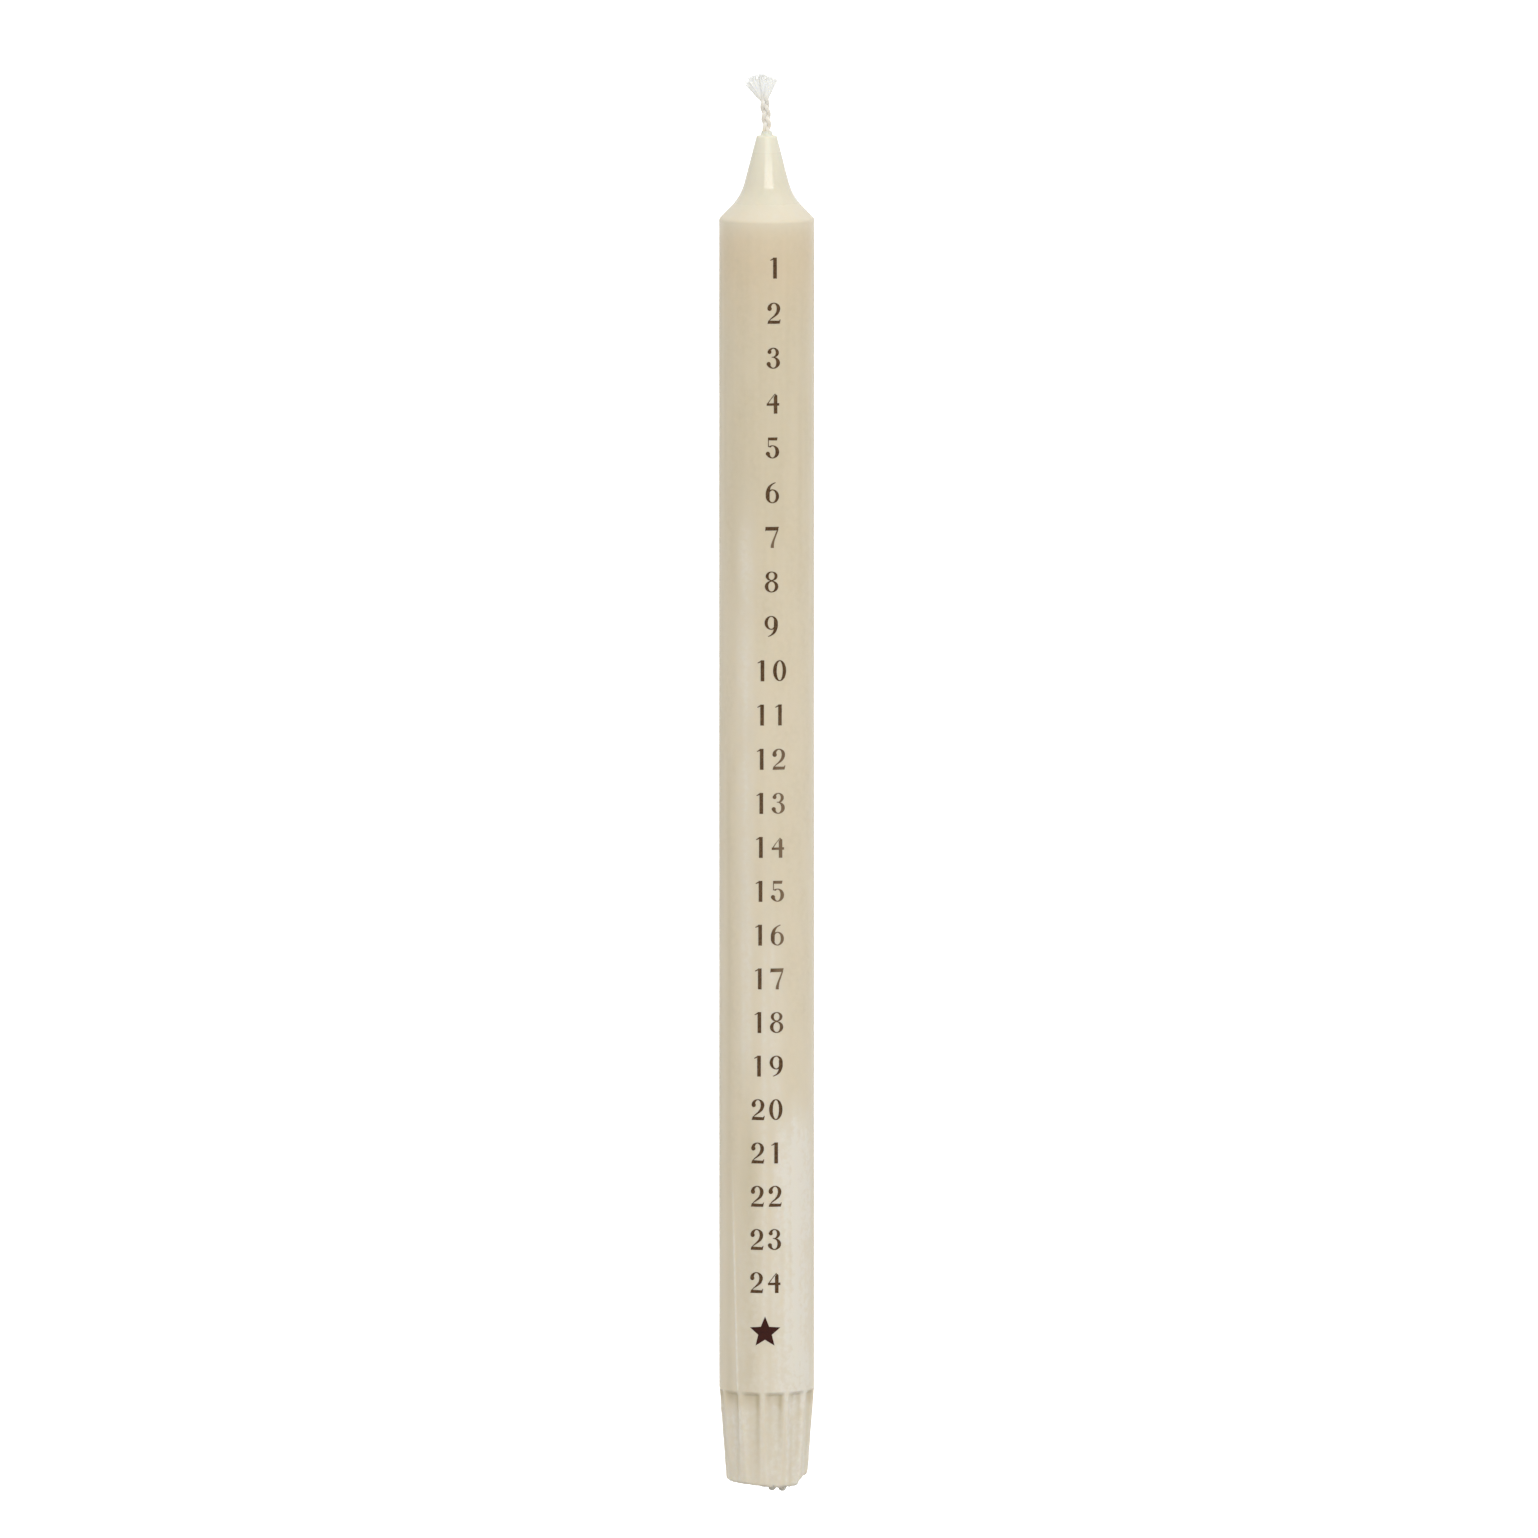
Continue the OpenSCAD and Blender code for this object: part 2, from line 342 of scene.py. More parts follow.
def bleached_cotton():
    """Bleached cotton yarn, plaited. It gives a matt, slightly fluffy white,
    greyer between the yarns, and creamy and closed where wax has climbed it."""
    material, tree, place = start_material("bleached_cotton")
    # Fibres are 0.015 mm thick, and drawn at 0.06 mm
    fibres = grain(tree, place, 0.06, detail=2.0, stretch=6.0)
    tufts = grain(tree, place, 0.4, stretch=2.0)
    level = level_of(tree, place)
    soaked = contrast(tree, level, COLLAR_TOP + SOAKED_HEIGHT, COLLAR_TOP)
    white = blend(tree, contrast(tree, fibres, 0.35, 0.7), COTTON_SHADE, COTTON_WHITE)
    uneven = blend(tree, contrast(tree, tufts, 0.4, 0.75, 0.0, 0.4), white, COTTON_SHADE)
    plaited = contrast(tree, level, COLLAR_TOP + STALK_LEN + 2, COLLAR_TOP + STALK_LEN - 1)
    used = blend(tree, plaited, uneven, COTTON_STALK)
    finish_material(tree, {
        "Base Color": blend(tree, soaked, used, WAX_SOAKED),
        "Roughness": contrast(tree, soaked, 0.0, 1.0, 0.9, 0.55),
        "IOR": COTTON_IOR,
        "Specular IOR Level": 0.2,
        "Subsurface Weight": 0.6,
        "Subsurface Radius": (1.0, 0.95, 0.85),
        "Subsurface Scale": 0.4 * MM,
        "Sheen Weight": 0.2,
        "Sheen Roughness": 0.6,
        "Normal": relief(tree, fibres, 0.5, 0.03),
    })
    return material


SOAKED_GROOVE = "#d8cba9"
SOAKED_YARN = "#e9dfc6"


def soaked_wick():
    """The same cotton where the wax fills it: a smooth cream cord whose yarns
    only just show as slanting lines."""
    material, tree, place = start_material("soaked_wick")
    # Yarns are 0.3 mm wide and climb round the cord
    wave = {"Vector": place, "Scale": 0.55, "Distortion": 1.5}
    yarns = add_node(tree, "TexWave", wave, bands_direction="DIAGONAL").outputs["Fac"]
    finish_material(tree, {
        "Base Color": blend(tree, yarns, SOAKED_GROOVE, SOAKED_YARN),
        "Roughness": 0.5,
        "IOR": WAX_IOR,
        "Subsurface Weight": 0.5,
        "Subsurface Radius": WAX_DEPTH,
        "Subsurface Scale": 1.0 * MM,
        "Normal": relief(tree, yarns, 0.4, 0.05),
    })
    return material


FIGURE_INK = ("#49331e", "#6a5237")
STAR_INK = ("#2e0d07", "#401a10")
FAINT_INK = "#86725a"
# Heights in mm between which the ink turns faint and full again on the second
# figures of the middle days, and on the stem of day 7
MIDDLE_DAYS = ((165, 150), (92, 104))
SEVEN_STEM = ((200.8, 199.6), (195, 196))
# Where the second figures begin, in mm to the right of the axis
SECOND_FIGURE = (1.1, 2.1)


def printed_ink(name, shades):
    """A thin matt film of brown ink, pressed onto the wax. It gives a dark
    flat brown, a little redder and thinner in patches."""
    material, tree, place = start_material(name)
    patches = grain(tree, place, 0.5, detail=4.0)
    across, _, level = add_node(tree, "SeparateXYZ", {0: place}).outputs
    fade, regain = MIDDLE_DAYS
    middle_days = product(tree, contrast(tree, level, *fade), contrast(tree, level, *regain))
    second = product(tree, middle_days, contrast(tree, across, *SECOND_FIGURE, 0.12, 0.7))
    fade, regain = SEVEN_STEM
    stem = product(tree, contrast(tree, level, *fade), contrast(tree, level, *regain, 0.0, 0.6))
    printed = blend(tree, contrast(tree, patches, 0.35, 0.75), *shades)
    finish_material(tree, {
        "Base Color": blend(tree, total(tree, second, stem), printed, FAINT_INK),
        "Roughness": contrast(tree, patches, 0.3, 0.7, 0.5, 0.7),
        "IOR": 1.5,
        "Specular IOR Level": 0.15,
    })
    return material


# Meshes

def make_piece(name, points, faces, material, nodes):
    """A smooth mesh piece of the candle that stands for CAD nodes."""
    mesh = bpy.data.meshes.new(name)
    mesh.from_pydata([Vector(p) * MM for p in points], [], faces)
    mesh.materials.append(material)
    mesh.validate()
    mesh.shade_smooth()
    piece = new_object(name, mesh)
    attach(piece, ROOT)
    if nodes:
        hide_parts(*nodes)
    return piece


def smooth_step(share):
    """A soft rise from 0 to 1 as the share goes from 0 to 1."""
    share = min(1.0, max(0.0, share))
    return share * share * (3 - 2 * share)


def rise_between(value, start, end):
    """A soft rise from 0 to 1 as a value goes from start to end."""
    return smooth_step((value - start) / (end - start))


def bell(distance, width):
    """Is 1 in the middle and falls off softly on both sides."""
    return exp(-(distance / width) ** 2)


# Wax body: the same outline as the CAD solid, in mm

wax_low, wax_high = [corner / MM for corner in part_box("wax_body")]
COLUMN_R = round(wax_high.x, 2)
COLLAR_TOP = round(wax_high.z, 2)
COLLAR_LEN = 0.9
COLLAR_WALL = 0.12
COLLAR_SPREAD = 0.2
NECK_LEN = 17.4
SHOULDER_LEN = 4.7
NECK_BASE_R = 5.45
NECK_TOP_R = 2.075
BORE_R = 0.95
NECK_TOP = COLLAR_TOP - COLLAR_LEN
COLUMN_TOP = NECK_TOP - NECK_LEN
FOOT_LEN = 19.7
FOOT_END_R = 8.5
RIM_ROUND = 0.7
# Radii that round the shoulder, the hollow sweep of the neck, its tip and the
# foot of its collar
SHOULDER_ROUND = 1.0
FLARE_ROUND = 11.0
TIP_ROUND = 0.45
COLLAR_ROUND = 0.4
# Share of a straight run that one rounding may take
CORNER_SHARE = 0.49
# Heights from the top of the foot, and below the column's top, between which the
# mesh is fine enough for the ledge and for the shoulder
LEDGE_ZONE = 1.4
LEDGE_CLEAR = 0.3
FOOT_CLEAR = 1.5
SHOULDER_CLEAR = 4
# Distances between the rings of the mesh: below each height, and on the lower
# face within and outside the radius where the pour drops begin
RING_STEPS = [
    (FOOT_LEN - LEDGE_ZONE, 0.4),
    (FOOT_LEN + LEDGE_CLEAR, 0.08),
    (FOOT_LEN + FOOT_CLEAR, 0.4),
    (COLUMN_TOP - SHOULDER_CLEAR, 2.6),
    (inf, 0.35),
]
DROPS_FROM_R = 5.6
FACE_STEPS = (0.9, 0.075)
# The lower face lies below this height
FLAT = 0.01


def rounded(before, corner, after, radius, steps=6):
    """Points of the arc that rounds the corner of an outline."""
    before, corner, after = Vector(before), Vector(corner), Vector(after)
    to_before = (before - corner).normalized()
    to_after = (after - corner).normalized()
    half = to_before.angle(to_after) / 2
    room = CORNER_SHARE * min((before - corner).length, (after - corner).length)
    radius = min(radius, room * tan(half))
    centre = corner + (to_before + to_after).normalized() * radius / sin(half)
    start = corner + to_before * radius / tan(half) - centre
    end = corner + to_after * radius / tan(half) - centre
    return [centre + radius * start.lerp(end, i / steps).normalized() for i in range(steps + 1)]


def wax_outline():
    """Half of the outline, from the bore's lower edge round to its upper one:
    distance from the axis, and height."""
    rim = (FOOT_END_R, 0)
    foot_top = (COLUMN_R, FOOT_LEN)
    shoulder = (COLUMN_R, COLUMN_TOP)
    neck_base = (NECK_BASE_R, COLUMN_TOP + SHOULDER_LEN)
    neck_edge = (NECK_TOP_R, NECK_TOP)
    collar_edge = (BORE_R + COLLAR_WALL, COLLAR_TOP)
    collar_base = (collar_edge[0] + COLLAR_SPREAD, NECK_TOP)
    points = [Vector((BORE_R, 0))]
    points += rounded((0, 0), rim, foot_top, RIM_ROUND)
    low = FOOT_LEN - LEDGE_ZONE
    points.append(Vector((FOOT_END_R + (COLUMN_R - FOOT_END_R) * low / FOOT_LEN, low)))
    points.append(Vector(foot_top))
    points += [Vector((COLUMN_R, height)) for height, _ in RING_STEPS[1:4]]
    points += rounded(foot_top, shoulder, neck_base, SHOULDER_ROUND)
    points += rounded(shoulder, neck_base, neck_edge, FLARE_ROUND, 14)
    points += rounded(neck_base, neck_edge, collar_base, TIP_ROUND)
    points += rounded(neck_edge, collar_base, collar_edge, COLLAR_ROUND)
    points += [Vector(collar_edge), Vector((BORE_R, COLLAR_TOP))]
    return points


def longest_step(radius, height):
    """How far apart the rings of the wax mesh may lie, in mm."""
    if height < FLAT:
        return FACE_STEPS[radius > DROPS_FROM_R]
    return next(step for top, step in RING_STEPS if height < top)


def spaced(points):
    """The outline with points added where they lie too far apart."""
    closer = [points[0]]
    for start, end in zip(points, points[1:]):
        middle = (start + end) / 2
        count = max(1, ceil((end - start).length / longest_step(middle.x, middle.y)))
        closer += [start.lerp(end, i / count) for i in range(1, count + 1)]
    return closer


# Foot: twelve ribs between round flutes, which end in a ledge under the column

RIB_COUNT = 12
RIB_STEP = 2 * pi / RIB_COUNT
RIB_TURN = radians(-5)
# The crests are worn narrower than the millimetre they had in the mould
RIB_CREST = 0.7
RIB_SOFTNESS = 0.09
FLUTE_DEPTH = 1.1
FLUTE_END_DEPTH = 0.4
LEDGE_LEN = 1.1
# How far the foot's surface rises and falls, from its rough mould, and the
# size of its patches
FLUTE_UNEVEN = 0.07
FLUTE_PATCH = 1.8

crest_angle = RIB_CREST / 2 / COLUMN_R
flute_half_w = COLUMN_R * sin(RIB_STEP / 2 - crest_angle)
flute_sag = COLUMN_R * cos(RIB_STEP / 2 - crest_angle) - (COLUMN_R - FLUTE_DEPTH)
CUTTER_R = (flute_half_w ** 2 + flute_sag ** 2) / (2 * flute_sag)
CUTTER_TOP = COLUMN_R - FLUTE_DEPTH + CUTTER_R
CUTTER_END = FOOT_END_R - FLUTE_END_DEPTH + CUTTER_R


def fluted(radius, turn, height):
    """The foot's radius where its flutes hollow it, with softened ribs."""
    if height >= FOOT_LEN:
        return radius
    axis = CUTTER_END + (CUTTER_TOP - CUTTER_END) * height / FOOT_LEN
    away = (turn - RIB_TURN) % RIB_STEP - RIB_STEP / 2
    reach = CUTTER_R ** 2 - (axis * sin(away)) ** 2
    if reach <= 0:
        return radius
    floor = axis * cos(away) - sqrt(reach)
    low = min(radius, floor)
    soft = low - RIB_SOFTNESS * log(
        exp((low - radius) / RIB_SOFTNESS) + exp((low - floor) / RIB_SOFTNESS))
    return radius + (soft - radius) * smooth_step((FOOT_LEN - height) / LEDGE_LEN)


# Marks of the mould on the lower column: the ridge that a rib has drawn up the
# left side while the candle was pulled, which drifts as it climbs

RIDGE_TURN = radians(-37.5)
RIDGE_DRIFT = radians(-10)
RIDGE_LEN = 55.0
RIDGE_HEIGHT = 0.11
RIDGE_WIDTH = 0.3
# Lengths over which the ridge fades out above and sets in at the foot
RIDGE_FADES = (25, 2)
RIDGE_START = FOOT_LEN - 1
# Depth of the column's shallow hollows, how many lie round it, and their height
SINK = 0.07
SINK_ROUND = 1.4
SINK_TALL = 18


def ridge_turn(height):
    """The turn at which the pull ridge lies at a height."""
    return RIDGE_TURN + RIDGE_DRIFT * (height - FOOT_LEN) / RIDGE_LEN


def ridge(turn, height):
    """Share of the pull ridge's height at a place on the column."""
    fade = smooth_step((FOOT_LEN + RIDGE_LEN - height) / RIDGE_FADES[0])
    fade *= smooth_step((height - RIDGE_START) / RIDGE_FADES[1])
    return fade * bell((turn - ridge_turn(height)) * COLUMN_R, RIDGE_WIDTH)


def column_radius(radius, turn, height):
    """A radius of the outline with the unevenness of a poured wall."""
    place = Vector((sin(turn) * SINK_ROUND, cos(turn) * SINK_ROUND, height / SINK_TALL))
    sunk = SINK * (0.5 + 0.5 * noise.noise(place)) * smooth_step((radius - NECK_TOP_R) / 2)
    return radius - sunk + RIDGE_HEIGHT * ridge(turn, height)


# Lower end: a rough face, a piece broken off the rim on the right, and the two
# drops of wax left where the mould was filled

# How far right the wax still reaches at each height where the rim is broken
BREAK_LINE = [(-0.6, 6.3), (0.0, 6.6), (0.6, 7.0), (1.0, 7.6), (1.2, 8.2), (1.7, 8.5), (2.4, 8.8)]
# Depth and fineness of the break's ragged face, and how it is neared
CHIP_RAG = 0.15
CHIP_FINE = 1.3
CHIP_TRIES = 8
CHIP_NEARING = 0.6
RIM_RAG = 0.16
RIM_FINE = 0.9
# The rim hangs lower at the front, where the last wax ran over the mould
RIM_HANG = 0.8
RIM_HANG_TURN = radians(25)
RIM_HANG_WIDTH = radians(48)
HANG_FROM = 4.0
# Radii between which the rim's hang, roughness and painted shade set in
HANG_RADII = (3, 8)
ROUGH_RADII = (5, 8)
SHADED_RIM_RADII = (6.5, 8)
# Turn and diameter of each drop
POUR_DROPS = [(10, 1.8), (29, 2.1)]
# Share of a drop's diameter by which its centre lies below the lower face
DROP_HANG = 0.34
# How much wider than the drop itself the root is that it hangs from
DROP_ROOT = 1.15
DROP_RING_R = 7.1
DROP_ROUND = radians(118)
DROP_SHARE = 0.78
DROP_LUMPS = 0.14


def step_between(levels, value):
    """The value of a line of steps, which stays level past its ends."""
    if value <= levels[0][0]:
        return levels[0][1]
    for (low, low_out), (high, high_out) in zip(levels, levels[1:]):
        if value <= high:
            return low_out + (high_out - low_out) * (value - low) / (high - low)
    return levels[-1][1]


def broken_rim(point):
    """Moves what lies outside the break back onto its slanting, ragged face."""
    if point.x < BREAK_LINE[0][1] - 0.5 or point.z > BREAK_LINE[-1][0]:
        return point
    moved = point.copy()
    for _ in range(CHIP_TRIES):
        past = moved.x - step_between(BREAK_LINE, moved.z) + CHIP_RAG * noise.noise(moved * CHIP_FINE)
        if past <= 0:
            break
        moved += Vector((-past / 2, 0, past / 2)) * CHIP_NEARING
    return moved


def swollen_drop(point):
    """Swells the lower face into the pour drops."""
    for turn, width in POUR_DROPS:
        root = at_turn(DROP_RING_R, radians(turn), 0)
        side = Vector((point.x - root.x, point.y - root.y, 0))
        share = side.length / (width * DROP_ROOT / 2)
        if share >= 1 or point.z > RIM_ROUND:
            continue
        angle = min(1.0, share / DROP_SHARE) * DROP_ROUND
        out = side.normalized() * sin(angle)
        lump = 1 + DROP_LUMPS * noise.noise(Vector((out.x, out.y, angle)) * 1.6 + root)
        centre = root + Vector((0, 0, -DROP_HANG * width))
        round_drop = centre + lump * width / 2 * (out - Vector((0, 0, cos(angle))))
        return round_drop.lerp(point, smooth_step((share - DROP_SHARE) / (1 - DROP_SHARE)))
    return point


def wax_point(radius, turn, height):
    """Where a point of the outline lies once the wax has its flutes and marks."""
    ring = column_radius(fluted(radius, turn, height), turn, height)
    if 0 < height < FOOT_LEN:
        rough = FLUTE_UNEVEN * noise.noise(at_turn(ring, turn, height) / FLUTE_PATCH)
        ring += rough * smooth_step((FOOT_LEN - height) / 2)
    point = at_turn(ring, turn, height)
    if height < HANG_FROM and radius > BORE_R:
        hang = RIM_HANG * bell(turn - RIM_HANG_TURN, RIM_HANG_WIDTH)
        point.z -= hang * rise_between(radius, *HANG_RADII) * (1 - height / HANG_FROM)
    if height < RIM_ROUND and radius > BORE_R:
        wear = rise_between(radius, *ROUGH_RADII) * rise_between(height, RIM_ROUND, 0)
        point.z += RIM_RAG * wear * noise.noise(Vector((point.x, point.y, 0)) * RIM_FINE)
        point = swollen_drop(point)
    return broken_rim(point)


# Columns of the mesh round the wax, and the zones with closer ones for the ridge
# and the drops: first and last turn, and step, in degrees
WAX_COLUMNS = 288
CLOSE_COLUMNS = [(-51, -34.6, 0.4), (0, 39.9, 0.7)]


def wax_turns():
    """The turns of the mesh's columns."""
    turns = [2 * pi * i / WAX_COLUMNS - pi for i in range(WAX_COLUMNS)]
    for first, last, step in CLOSE_COLUMNS:
        fine = [radians(first + step * i) for i in range(round((last - first) / step) + 1)]
        turns = [t for t in turns if not fine[0] - 0.01 < t < fine[-1] + 0.01] + fine
    return sorted(turns)


# Frost: where stearin has crystallised white on the skin. Each band has its
# turn and half width in degrees, its lowest and highest z in mm, the length
# over which it fades, and its strength. The bands of deep wax and painted shade
# are alike
FROST_BANDS = [
    (0, 400, 265, 268, 4, 0.25),
    (-26, 11, 85, 205, 25, 0.45),
    (3, 17, 40, 118, 18, 0.4),
    (2, 9, 85, 150, 30, 0.15),
    (38, 30, 14, 77, 14, 1.2),
    (20, 60, 0, 60, 40, 0.6),
    (0, 400, -10, 17, 4, 0.6),
    (170, 80, 5, 110, 50, 0.5),
    (110, 20, 60, 180, 30, 0.35),
    (-120, 25, 40, 150, 30, 0.35),
]
# The bands at −80° and 78° are painted shade along the column's edges seen from the front; the others
# are deeper, clearer wax
DEEP_AND_SHADE_BANDS = [
    (-52, 7, 18, 150, 40, 0.3),
    (-80, 12, 15, 262, 20, 0.85),
    (78, 10, 25, 262, 20, 0.5),
    (-20, 12, 15, 75, 20, 0.5),
    (0, 180, 190, 262, 60, 0.3),
]
# The tip and the shoulder cooled first and turned milky: height and share
MILKY_LEVELS = [
    (256, 0), (261, 0.1), (263, 0.25), (264.3, 0.35), (267, 0.35), (270, 0.45), (275, 0.55),
    (279, 0.65), (284, 0.9),
]
# Painted shade on the drops' roots, what their ends add, and painted shade along the rim
DROP_SHADE = (0.35, 0.35)
RIM_SHADE = 0.45


def soiling(radius, turn, height):
    """Share of painted shade on the pour drops and along the lower rim, which face down."""
    point = at_turn(radius, turn, height)
    for drop_turn, width in POUR_DROPS:
        root = at_turn(DROP_RING_R, radians(drop_turn), 0)
        share = (point - root).length / (width * DROP_ROOT / 2)
        if height < 0.1 and share < 1:
            return DROP_SHADE[0] + DROP_SHADE[1] * smooth_step(1.6 * (1 - share))
    return RIM_SHADE * rise_between(height, RIM_ROUND, 0) * rise_between(radius, *SHADED_RIM_RADII)


def banded(bands, turn, height):
    """The strength of a set of bands at a place on the wax."""
    strongest = 0.0
    for middle, width, low, high, fade, strength in bands:
        away = (degrees(turn) - middle + 180) % 360 - 180
        inside = smooth_step((height - low) / fade + 0.5) * smooth_step((high - height) / fade + 0.5)
        strongest = max(strongest, strength * inside * bell(away, width))
    return strongest


# Fineness of the upright streaks round the candle, and their height
STREAK_ROUND = 9
STREAK_TALL = 45


def streaky(turn, height):
    """Upright streaks round a mean of 1, from the pull along the mould."""
    place = Vector((sin(turn) * STREAK_ROUND, cos(turn) * STREAK_ROUND, height / STREAK_TALL))
    return 0.45 + 1.1 * (0.5 + 0.5 * noise.noise(place))


# How much painted shade a flute gets all over, along its shaded side and below its ledge
FLUTE_TONES = (0.15, 0.6, 0.42)
# Middle and half width of that side, in shares of the step between ribs, and
# the turns between which a flute turns away from the light
SHADED_SIDE = (0.3, 0.14)
TURNED_AWAY = (0.6, 1.0)


def flute_shade(radius, turn, height):
    """Painted shade in the flutes: some over their hollows, more along their shaded side, and most of
    all below the ledge, where its shadow falls.
    """
    hollow = (radius - fluted(radius, turn, height)) / FLUTE_DEPTH
    away = (turn - RIB_TURN) % RIB_STEP / RIB_STEP - 0.5
    below = (FOOT_LEN - height) / (2.4 + 4 * max(0.0, away))
    middle, half_w = SHADED_SIDE
    line = bell(away - middle, half_w) * smooth_step(height / 8)
    turned_away = rise_between(turn, *TURNED_AWAY)
    all_over, side, under = FLUTE_TONES
    tone = all_over + side * line + under * smooth_step(1.5 - below)
    return min(1.0, 1.6 * hollow) * tone * (1 - 0.5 * turned_away)


def make_wax(material):
    """The wax body as one closed mesh, from rings along its outline."""
    turns = wax_turns()
    rings = spaced(wax_outline())
    count = len(turns)
    points, shares = [], []
    for radius, height in rings:
        for turn in turns:
            points.append(wax_point(radius, turn, height))
            streak = streaky(turn, height) if height > 0 else 1.0
            shade = flute_shade(radius, turn, height) if 0 < height < FOOT_LEN else 0.0
            frosted = streak * banded(FROST_BANDS, turn, height) * (1 - 0.85 * shade)
            frost = max(0.8 * ridge(turn, height), frosted)
            # This share holds painted shade from the flutes and the column's edges, and deeper wax
            # from the other bands
            deep_and_shade = max(shade, streak * banded(DEEP_AND_SHADE_BANDS, turn, height))
            milky = step_between(MILKY_LEVELS, height)
            shares.append((frost, deep_and_shade, milky, soiling(radius, turn, height)))
    faces = []
    for i in range(len(rings)):
        for k in range(count):
            low, low_next = i * count + k, i * count + (k + 1) % count
            above = (i + 1) % len(rings) * count
            faces.append((low, low_next, above + (k + 1) % count, above + k))
    piece = make_piece("candle_wax", points, faces, material, ["wax_body"])
    for name, values in zip(WAX_SHARES, zip(*shares)):
        piece.data.attributes.new(name, "FLOAT", "POINT").data.foreach_set("value", values)
    return piece


# Wick: three plaited strands of yarns, which open out at the cut end

STALK_LEN = 6.6
STALK_LEAN = 0.55
BRAID_PITCH = 7.0
BRAID_TIGHT = 0.86
SWAY = 0.55
WEAVE = 0.37
STRAND_HALF = (0.55, 0.35)
FRAY_LEN = 5.4
# Yarns of a strand: the first ones lie round its outside, the others within
YARN_COUNT = 46
OUTER_YARNS = 12
YARN_R = 0.095
YARN_FLUFF = 1.5
YARN_SIDES = 6
# Share of the fray from which a yarn is only its thin tip, and that tip's width
YARN_TIP_FROM = 0.9
YARN_TIP = 0.45
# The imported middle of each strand: its shares of the strand's width, of the
# fan's and of the way out to it, its height and where it closes
CORE_SHARE = 0.76
CORE_FAN_SHARE = 0.86
CORE_REACH = 0.88
CORE_HEIGHT = 0.9
CORE_CLOSES = 0.75
CORE_RINGS = 10
CORE_SIDES = 16
# The yarns of a strand are worked into one skin with faces of this size, and
# corners of it that only just touch draw apart by this share
SKIN_STEP = 0.034
SKIN_PARTING = 0.35
STALK_RINGS = 40
FRAY_RINGS = 14
# Turns of the yarns round their strand, per mm
YARN_TWIST = 0.28
GOLDEN_TURN = pi * (3 - sqrt(5))
# Height and length in mm of a yarn's waves
CRIMP = 0.1
CRIMP_LEN = 2.3
# For each strand: its turn in the plait in thirds of the pitch, and the middle
# and half width of its share of the fan in mm
STRANDS = {
    "left": (2, -2.95, 2.6),
    "middle": (0, -0.9, 1.4),
    "right": (1, 1.2, 1.4),
}
# Across the fan: distance from the axis, and the share of the fray's length
# that the tips reach there. The yarns on the left stand out as a wisp
FAN_EDGE = [(-4.9, 0.7), (-4.2, 0.8), (-3.7, 0.88), (-3.1, 0.98), (-0.5, 1), (0.8, 0.9), (1.9, 0.8)]
FAN_DEPTH = 0.95
# How far a yarn goes on in the direction of the plait before it fans out, and
# the share of its way out by which it runs straight
FAN_BEND = 0.4
FAN_STRAIGHT = 0.6
# How much the tips differ in depth, and in height as shares
TIP_DEPTHS = (-0.2, 0.2)
TIP_HEIGHTS = (0.92, 1.0)


def loosened(rise):
    """How far the plait has opened from the round cord in the wax."""
    return BRAID_TIGHT + (1 - BRAID_TIGHT) * smooth_step(3 * rise)


def strand_middle(third, rise):
    """The middle line of a strand at a share of the stalk's height."""
    phase = 2 * pi * (rise - 1) * STALK_LEN / BRAID_PITCH + radians(120) * third
    return Vector((
        loosened(rise) * SWAY * sin(phase) - STALK_LEAN * rise * rise,
        loosened(rise) * WEAVE * sin(2 * phase),
        COLLAR_TOP + STALK_LEN * rise))


def fanned_out(stalk, tip, steps):
    """Points from the end of a path up the stalk to a tip of the fan."""
    along = (stalk[-1] - stalk[-2]).normalized()
    reach = tip - stalk[-1]
    handles = (stalk[-1] + along * FAN_BEND, stalk[-1] + reach * FAN_STRAIGHT)
    return geometry.interpolate_bezier(stalk[-1], *handles, tip, steps + 1)[1:]


def yarn_path(strand, number, chance):
    """One yarn, up the stalk in its strand and then out into the fan."""
    third, fan_x, fan_half = STRANDS[strand]
    ring = 1 - YARN_R / STRAND_HALF[1]
    angle = 2 * pi * number / OUTER_YARNS
    if number >= OUTER_YARNS:
        ring *= 0.9 * sqrt((number - OUTER_YARNS + 0.5) / (YARN_COUNT - OUTER_YARNS))
        angle = number * GOLDEN_TURN
    phase = chance.uniform(0, 2 * pi)
    path = []
    for i in range(STALK_RINGS + 1):
        rise = i / STALK_RINGS
        twist = angle + 2 * pi * YARN_TWIST * STALK_LEN * (rise - 1)
        half_w, half_d = [loosened(rise) * ring * h for h in STRAND_HALF]
        aside = Vector((half_w * cos(twist), half_d * sin(twist), 0))
        path.append(strand_middle(third, rise) + aside)
    out = Vector((ring * cos(angle), ring * sin(angle)))
    tip_y = FAN_DEPTH * out.y + chance.uniform(*TIP_DEPTHS)
    tip = Vector((fan_x + out.x * fan_half, tip_y, path[-1].z))
    height = FRAY_LEN * step_between(FAN_EDGE, tip.x) * chance.uniform(*TIP_HEIGHTS)
    tip.z += height
    for i, place in enumerate(fanned_out(path, tip, FRAY_RINGS)):
        share = (i + 1) / FRAY_RINGS
        crimp = CRIMP * share * sin(2 * pi * height * share / CRIMP_LEN + phase)
        path.append(place + Vector((crimp, 0.6 * crimp, 0)))
    return path


